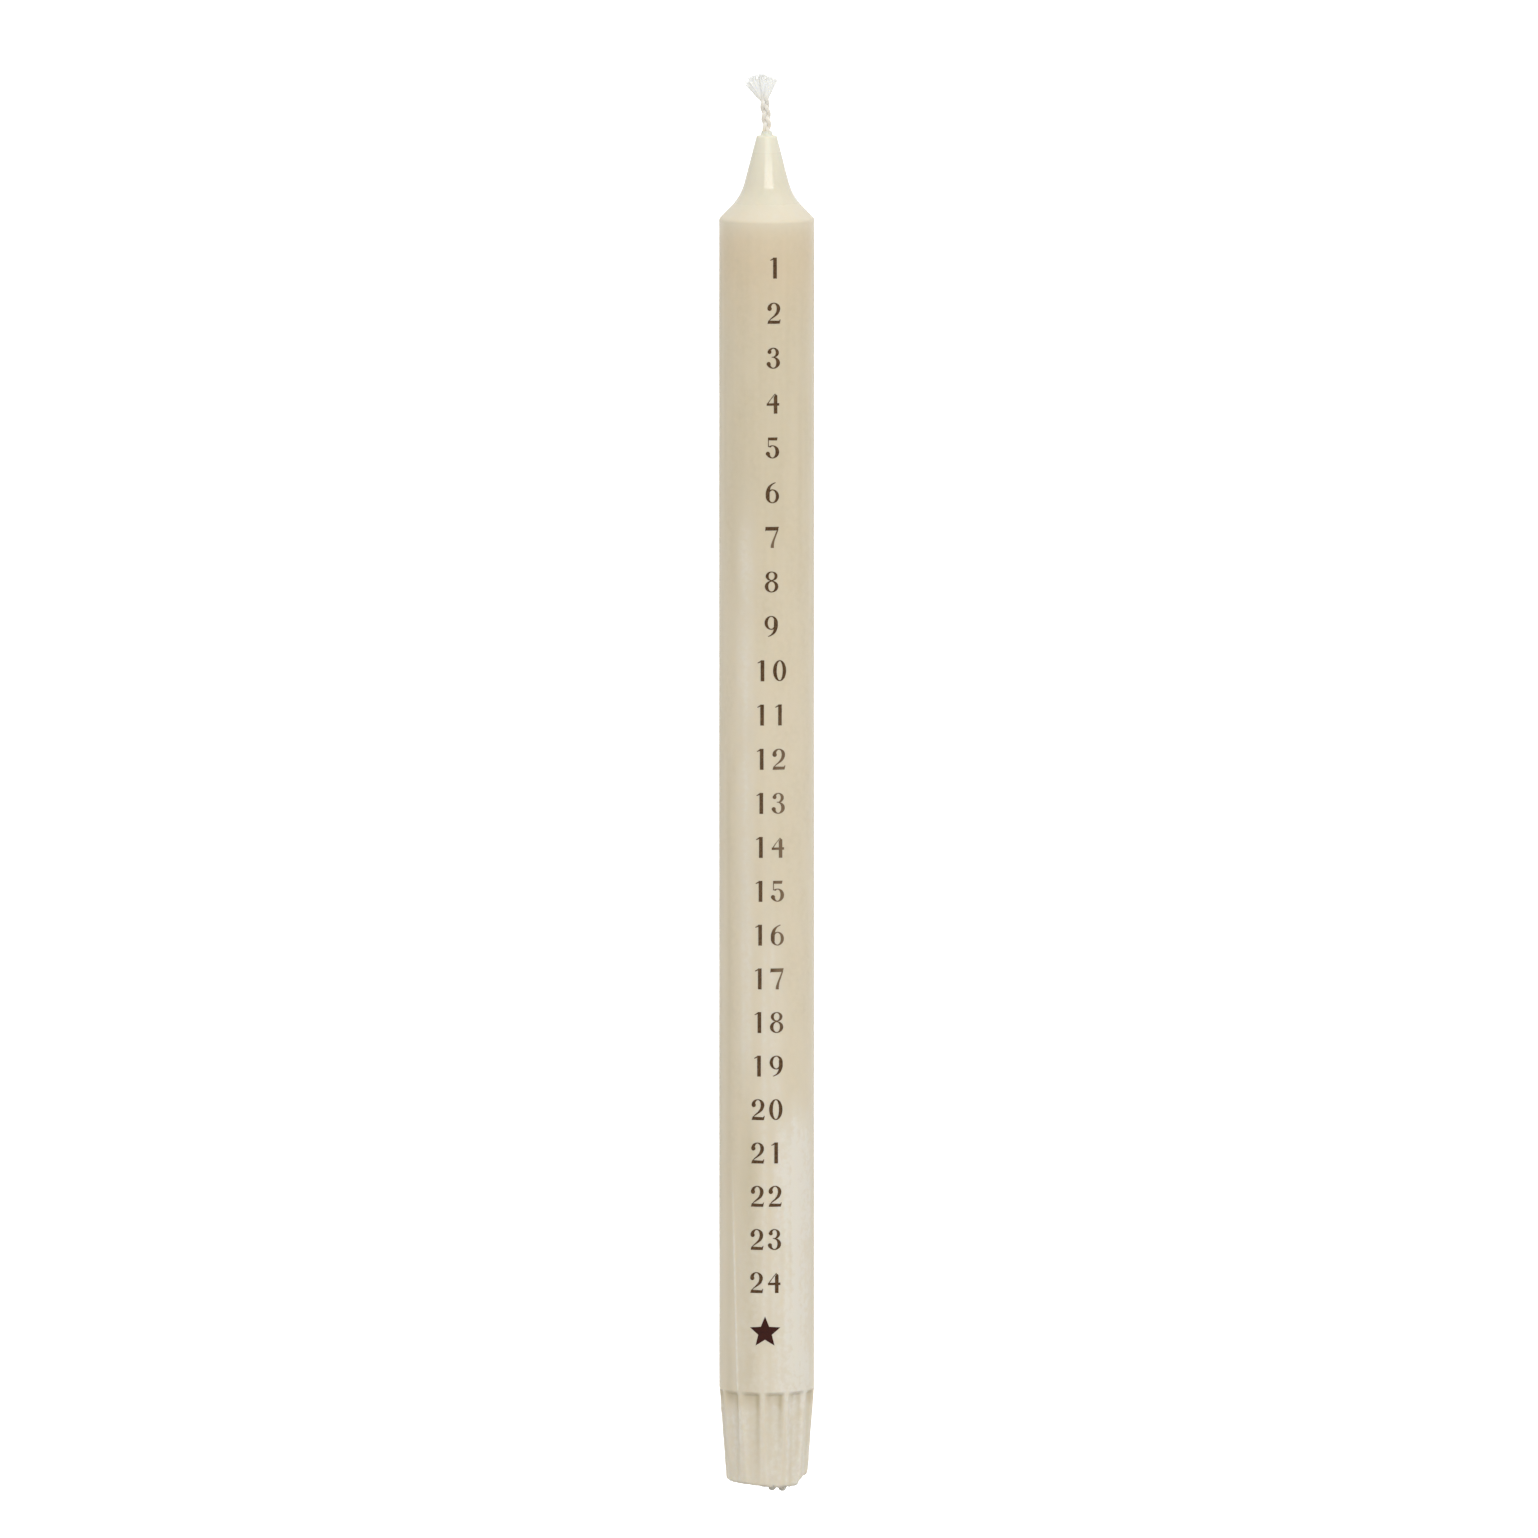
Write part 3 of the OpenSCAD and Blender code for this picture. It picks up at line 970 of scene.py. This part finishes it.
def tube(path, halves, sides):
    """Points and faces of a closed tube along a path that never runs along Y,
    with its half width and half depth at each point of the path."""
    points, faces = [], []
    for i, middle in enumerate(path):
        along = (path[min(i + 1, len(path) - 1)] - path[max(i - 1, 0)]).normalized()
        across = Vector((0, 1, 0)).cross(along).normalized()
        up = along.cross(across)
        half_w, half_d = halves[i]
        for k in range(sides):
            angle = 2 * pi * k / sides
            points.append(middle + half_w * cos(angle) * across + half_d * sin(angle) * up)
    for i in range(len(path) - 1):
        for k in range(sides):
            low, low_next = i * sides + k, i * sides + (k + 1) % sides
            faces.append((low, low_next, low_next + sides, low + sides))
    faces.append(tuple(reversed(range(sides))))
    faces.append(tuple(range((len(path) - 1) * sides, len(path) * sides)))
    return points, faces


def gather(parts):
    """Joins several lists of points and faces into one."""
    points, faces = [], []
    for more_points, more_faces in parts:
        start = len(points)
        points += more_points
        faces += [tuple(start + corner for corner in face) for face in more_faces]
    return points, faces


def strand_core(strand):
    """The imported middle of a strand, which widens and ends inside the fan."""
    third, fan_x, fan_half = STRANDS[strand]
    rises = [i / STALK_RINGS for i in range(STALK_RINGS + 1)]
    path = [strand_middle(third, rise) for rise in rises]
    halves = [[CORE_SHARE * loosened(rise) * h for h in STRAND_HALF] for rise in rises]
    root = path[-1]
    tip = root + Vector((fan_x - root.x, -root.y, FRAY_LEN * CORE_HEIGHT)) * CORE_REACH
    path += fanned_out(path, tip, CORE_RINGS)
    narrow = halves[-1]
    wide = [CORE_FAN_SHARE * half * CORE_REACH for half in (fan_half, FAN_DEPTH)]
    for i in range(1, CORE_RINGS + 1):
        share = i / CORE_RINGS
        closed = max(0.0, (share - CORE_CLOSES) / (1 - CORE_CLOSES))
        closing = sqrt(max(0.02, 1 - closed ** 2))
        halves.append([closing * (a + (b - a) * share) for a, b in zip(narrow, wide)])
    return tube(path, halves, CORE_SIDES)


def only_used(points, faces):
    """The same faces without the points that none of them uses."""
    used = sorted({corner for face in faces for corner in face})
    order = {corner: i for i, corner in enumerate(used)}
    renamed = [tuple(order[corner] for corner in face) for face in faces]
    return [points[corner] for corner in used], renamed


def largest_skin(points, faces):
    """The largest of some closed skins, without the crumbs beside and inside it."""
    leads_to = list(range(len(points)))

    def leader(corner):
        while leads_to[corner] != corner:
            leads_to[corner] = leads_to[leads_to[corner]]
            corner = leads_to[corner]
        return corner

    for face in faces:
        for corner in face[1:]:
            leads_to[leader(corner)] = leader(face[0])
    leaders = [leader(face[0]) for face in faces]
    largest = Counter(leaders).most_common(1)[0][0]
    return only_used(points, [face for face, lead in zip(faces, leaders) if lead == largest])


def worked_together(points, faces):
    """One closed skin round overlapping yarns. It is made at a scale of a unit
    to the millimetre, because Blender's smallest voxel is a tenth of one."""
    mesh = bpy.data.meshes.new("loose_yarns")
    mesh.from_pydata(points, [], faces)
    loose = new_object("loose_yarns", mesh)
    skin = loose.modifiers.new("skin", "REMESH")
    skin.mode = "VOXEL"
    skin.voxel_size = SKIN_STEP
    loose.modifiers.new("parting", "SMOOTH").factor = SKIN_PARTING
    worked = loose.evaluated_get(bpy.context.evaluated_depsgraph_get()).to_mesh()
    points = [point.co.copy() for point in worked.vertices]
    faces = [tuple(face.vertices) for face in worked.polygons]
    bpy.data.objects.remove(loose)
    bpy.data.meshes.remove(mesh)
    return largest_skin(points, faces)


def make_strand(strand, material):
    """One strand of the plait with its frayed yarns."""
    chance = random.Random("strand " + strand)
    parts = [strand_core(strand)]
    for number in range(YARN_COUNT):
        path = yarn_path(strand, number, chance)
        halves = []
        for i in range(len(path)):
            share = max(0.0, (i - STALK_RINGS) / FRAY_RINGS)
            tip = 1.0 if share < YARN_TIP_FROM else YARN_TIP
            halves.append([YARN_R * (1 + (YARN_FLUFF - 1) * smooth_step(share * 1.6)) * tip] * 2)
        parts.append(tube(path, halves, YARN_SIDES))
    points, faces = worked_together(*gather(parts))
    nodes = ["wick_strand_" + strand, "wick_threads_" + strand]
    return make_piece("cotton_strand_" + strand, points, faces, material, nodes)


FUZZ_COUNT = 80
FUZZ_R = 0.018
FUZZ_LENGTHS = (0.3, 0.9)
FUZZ_STEPS = 6
FUZZ_THINNING = 0.08
# How far along a yarn the fibres start, as shares, and how much they curl
FUZZ_STARTS = (0.12, 0.97)
FUZZ_CURL = 0.35


def make_fuzz(material):
    """Single fibres that stand off the stalk and the fray."""
    chance = random.Random("fuzz")
    parts = []
    for _ in range(FUZZ_COUNT):
        yarn = yarn_path(chance.choice(list(STRANDS)), chance.randrange(YARN_COUNT), chance)
        start = yarn[int(len(yarn) * chance.uniform(*FUZZ_STARTS))]
        lean = Vector((chance.gauss(0, 1), chance.gauss(0, 1), chance.uniform(0.2, 1.6))).normalized()
        curl = Vector([chance.gauss(0, 1) for _ in range(3)]) * FUZZ_CURL
        length = chance.uniform(*FUZZ_LENGTHS)
        path, halves = [], []
        for i in range(FUZZ_STEPS + 1):
            path.append(start + lean * length * i / FUZZ_STEPS + curl * length * (i / FUZZ_STEPS) ** 2)
            halves.append([FUZZ_R * (1 - FUZZ_THINNING * i)] * 2)
        parts.append(tube(path, halves, 3))
    points, faces = gather(parts)
    return make_piece("cotton_fuzz", points, faces, material, [])


# Printed days: upright figures with strong stems and fine hairlines. Their
# outlines are in shares of a figure's height, from its middle and its foot

FIGURE_HEIGHT = 4.4
STEM = 0.175
HAIR = 0.045
FIGURE_PITCH = 3.78
ARC_STEPS = 28
BALL_SIDES = 16
SWEEP_STEPS = 5


def bar(*corners):
    """A shape with straight edges, as one face."""
    return [[Vector(c) for c in corners]]


def upright(x, width):
    """A straight stem of a figure's full height."""
    return bar((x - width / 2, 0), (x + width / 2, 0), (x + width / 2, 1), (x - width / 2, 1))


def oval(x, y, half_w, half_h, angles):
    """The points of an oval at some angles."""
    return [Vector((x + half_w * cos(a), y + half_h * sin(a))) for a in angles]


def ball(x, y, radius):
    """The round end of a stroke."""
    return [oval(x, y, radius, radius, [2 * pi * i / BALL_SIDES for i in range(BALL_SIDES)])]


def bowl(x, y, half_w, half_h, side, start=0, end=360):
    """Part of an oval ring, strong at its sides and fine above and below."""
    steps = ceil(ARC_STEPS * (end - start) / 360)
    angles = [radians(start + (end - start) * i / steps) for i in range(steps + 1)]
    outer = oval(x, y, half_w, half_h, angles)
    inner = oval(x, y, half_w - side, half_h - HAIR, angles)
    return [[outer[i], outer[i + 1], inner[i + 1], inner[i]] for i in range(steps)]


def sweep(*knots):
    """A curved stroke through knots: place, and width there."""
    knots = [Vector(k) for k in knots]
    ends = [2 * knots[0] - knots[1]] + knots + [2 * knots[-1] - knots[-2]]
    line = [knots[0]]
    for i in range(1, len(knots)):
        a, b, c, d = ends[i - 1:i + 3]
        for step in range(1, SWEEP_STEPS + 1):
            t = step / SWEEP_STEPS
            line.append(0.5 * (2 * b + (c - a) * t + (2 * a - 5 * b + 4 * c - d) * t ** 2
                               + (3 * b - a - 3 * c + d) * t ** 3))
    edges = []
    for i, knot in enumerate(line):
        along = line[min(i + 1, len(line) - 1)] - line[max(i - 1, 0)]
        aside = Vector((-along.y, along.x)).normalized() * knot.z / 2
        edges.append((knot.xy + aside, knot.xy - aside))
    return [[a[0], a[1], b[1], b[0]] for a, b in zip(edges, edges[1:])]


def half_turn(shape):
    """The same shape turned upside down."""
    return [[Vector((-p.x, 1 - p.y)) for p in face] for face in shape]


SIX = (
    bowl(0, 0.33, 0.32, 0.33, 0.155)
    + sweep((-0.2, 0.2, 0.14), (-0.225, 0.46, 0.19), (-0.165, 0.73, 0.14),
            (-0.03, 0.89, 0.07), (0.15, 0.985, 0.035)))
FIGURES = {
    "0": bowl(0, 0.5, 0.325, 0.5, STEM),
    "1": upright(0.03, STEM)
    + sweep((-0.01, 0.975, 0.06), (-0.09, 0.92, 0.06), (-0.2, 0.865, 0.035)),
    "2": bowl(-0.005, 0.715, 0.31, 0.285, 0.17, -20, 180) + ball(-0.21, 0.715, 0.105)
    + sweep((0.215, 0.66, 0.17), (0.16, 0.51, 0.14), (0.02, 0.36, 0.085),
            (-0.14, 0.235, 0.05), (-0.25, 0.12, 0.03))
    + bar((-0.31, 0), (0.28, 0), (0.28, 0.135), (-0.27, 0.155))
    + bar((0.2, 0.05), (0.28, 0), (0.32, 0.2), (0.29, 0.2)),
    "3": bowl(-0.015, 0.765, 0.275, 0.235, 0.155, -85, 150) + ball(-0.195, 0.795, 0.095)
    + bowl(-0.015, 0.28, 0.325, 0.28, 0.18, -155, 88) + ball(-0.235, 0.225, 0.1)
    + bar((-0.09, 0.53), (0.05, 0.53), (0.05, 0.57), (-0.09, 0.57)),
    "4": bar((0.03, 0), (0.2, 0), (0.2, 0.86), (0.12, 0.93), (0.03, 0.8))
    + bar((-0.31, 0.38), (0.29, 0.38), (0.29, 0.5), (-0.31, 0.49))
    + sweep((-0.28, 0.45, 0.045), (-0.12, 0.68, 0.035), (0.1, 0.95, 0.035)),
    "5": bar((-0.23, 0.865), (0.2, 0.855), (0.23, 1), (-0.23, 1))
    + bar((-0.23, 0.55), (-0.19, 0.55), (-0.19, 0.9), (-0.23, 0.9))
    + bowl(-0.015, 0.315, 0.325, 0.315, 0.18, -152, 130) + ball(-0.235, 0.225, 0.1),
    "6": SIX,
    "7": bar((-0.33, 0.78), (-0.295, 0.825), (0.28, 0.825), (0.33, 1), (-0.31, 1))
    + sweep((0.28, 0.88, 0.06), (0.18, 0.62, 0.075), (0.07, 0.34, 0.1),
            (0.02, 0.13, 0.14), (0.01, 0, 0.155)),
    "8": bowl(0, 0.775, 0.285, 0.225, 0.145) + bowl(0, 0.28, 0.325, 0.28, 0.165),
    "9": half_turn(SIX),
}
STAR_POINTS = 5
STAR_R = 3.4
STAR_NOTCH_R = 1.5

FIRST_DAY_Z = 255.7
DAY_STEP = 9.436
# The steps get this much shorter from one day to the next
STEP_SHRINK = 0.0155
DAY_COUNT = 24
STAR_Z = 32.25
# The print lies slightly askew: its middle at the second day and at the star
PRINT_TOP = (1.53, 246.3)
PRINT_END = (-0.36, 32.1)
# The ink film's faces above and below the wax, and the width of its slices
FILM_ABOVE = 0.025
FILM_BELOW = 0.06
SLICE_W = 0.35
# How far the slicing lines reach past a figure
SLICE_PAST = 0.1


def star():
    """A plain five-pointed star in mm, about its middle."""
    corners = []
    for i in range(2 * STAR_POINTS):
        angle = pi * (0.5 + i / STAR_POINTS)
        radius = STAR_NOTCH_R if i % 2 else STAR_R
        corners.append(Vector((radius * cos(angle), radius * sin(angle))))
    middle = Vector((0, 0))
    return [[middle, corners[i], corners[(i + 1) % len(corners)]] for i in range(len(corners))]


def number(day):
    """The figures of a day in mm, about the middle of the number."""
    text = str(day)
    shape = []
    for place, figure in enumerate(text):
        shift = Vector(((place - (len(text) - 1) / 2) * FIGURE_PITCH, -FIGURE_HEIGHT / 2))
        shape += [[p * FIGURE_HEIGHT + shift for p in face] for face in FIGURES[figure]]
    return shape


def flat_union(shape):
    """One flat mesh of overlapping faces, sliced upright so that it can bend."""
    points, edges, faces = [], [], []
    for face in shape:
        area = sum(a.cross(b) for a, b in zip(face, face[1:] + face[:1]))
        if abs(area) < 1e-6:
            continue
        start = len(points)
        points += face if area > 0 else face[::-1]
        faces.append(list(range(start, start + len(face))))
    low = min(p.y for p in points) - SLICE_PAST
    high = max(p.y for p in points) + SLICE_PAST
    left = min(p.x for p in points)
    width = max(p.x for p in points) - left
    slices = ceil(width / SLICE_W)
    for i in range(1, slices):
        x = left + width * i / slices
        edges.append((len(points), len(points) + 1))
        points += [Vector((x, low)), Vector((x, high))]
    made = geometry.delaunay_2d_cdt(points, edges, faces, 1, 1e-5)
    inked = [face for face, sources in zip(made[2], made[5]) if sources]
    return made[0], inked


def film(shape, middle_x, middle_z):
    """Bends a flat shape onto the column as a thin closed film."""
    flat, triangles = only_used(*flat_union(shape))
    points = []
    for lift in (FILM_ABOVE, -FILM_BELOW):
        for place in flat:
            turn = (place.x + middle_x) / COLUMN_R
            height = place.y + middle_z
            points.append(at_turn(column_radius(COLUMN_R, turn, height) + lift, turn, height))
    under = len(flat)
    faces = list(triangles)
    sides = {(face[i], face[(i + 1) % 3]) for face in triangles for i in range(3)}
    faces += [tuple(under + corner for corner in reversed(face)) for face in triangles]
    faces += [(b, a, under + a, under + b) for a, b in sides if (b, a) not in sides]
    return points, faces


def print_x(height):
    """Where the middle of the print lies at a height."""
    share = (height - PRINT_END[1]) / (PRINT_TOP[1] - PRINT_END[1])
    return PRINT_END[0] + share * (PRINT_TOP[0] - PRINT_END[0])


def make_film(name, shape, height, ink):
    """One printed number or sign of the scale."""
    points, faces = film(shape, print_x(height), height)
    make_piece(name, points, faces, ink, []).data.shade_flat()


def make_print(figure_ink, star_ink):
    """The days from 1 at the top to 24, and the star below them."""
    for i in range(DAY_COUNT):
        height = FIRST_DAY_Z - DAY_STEP * i + STEP_SHRINK * i * i / 2
        make_film(f"day_{i + 1:02d}", number(i + 1), height, figure_ink)
    make_film("day_star", star(), STAR_Z, star_ink)


make_camera()
make_backdrop()
make_floor()
make_softboxes()

make_wax(poured_wax())
cotton = bleached_cotton()
for strand_name in STRANDS:
    make_strand(strand_name, cotton)
make_fuzz(cotton)
core_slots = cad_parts["wick_core"].data.materials
core_slots.clear()
core_slots.append(soaked_wick())
make_print(printed_ink("figure_ink", FIGURE_INK), printed_ink("star_ink", STAR_INK))

bpy.context.scene.view_settings.view_transform = "Standard"
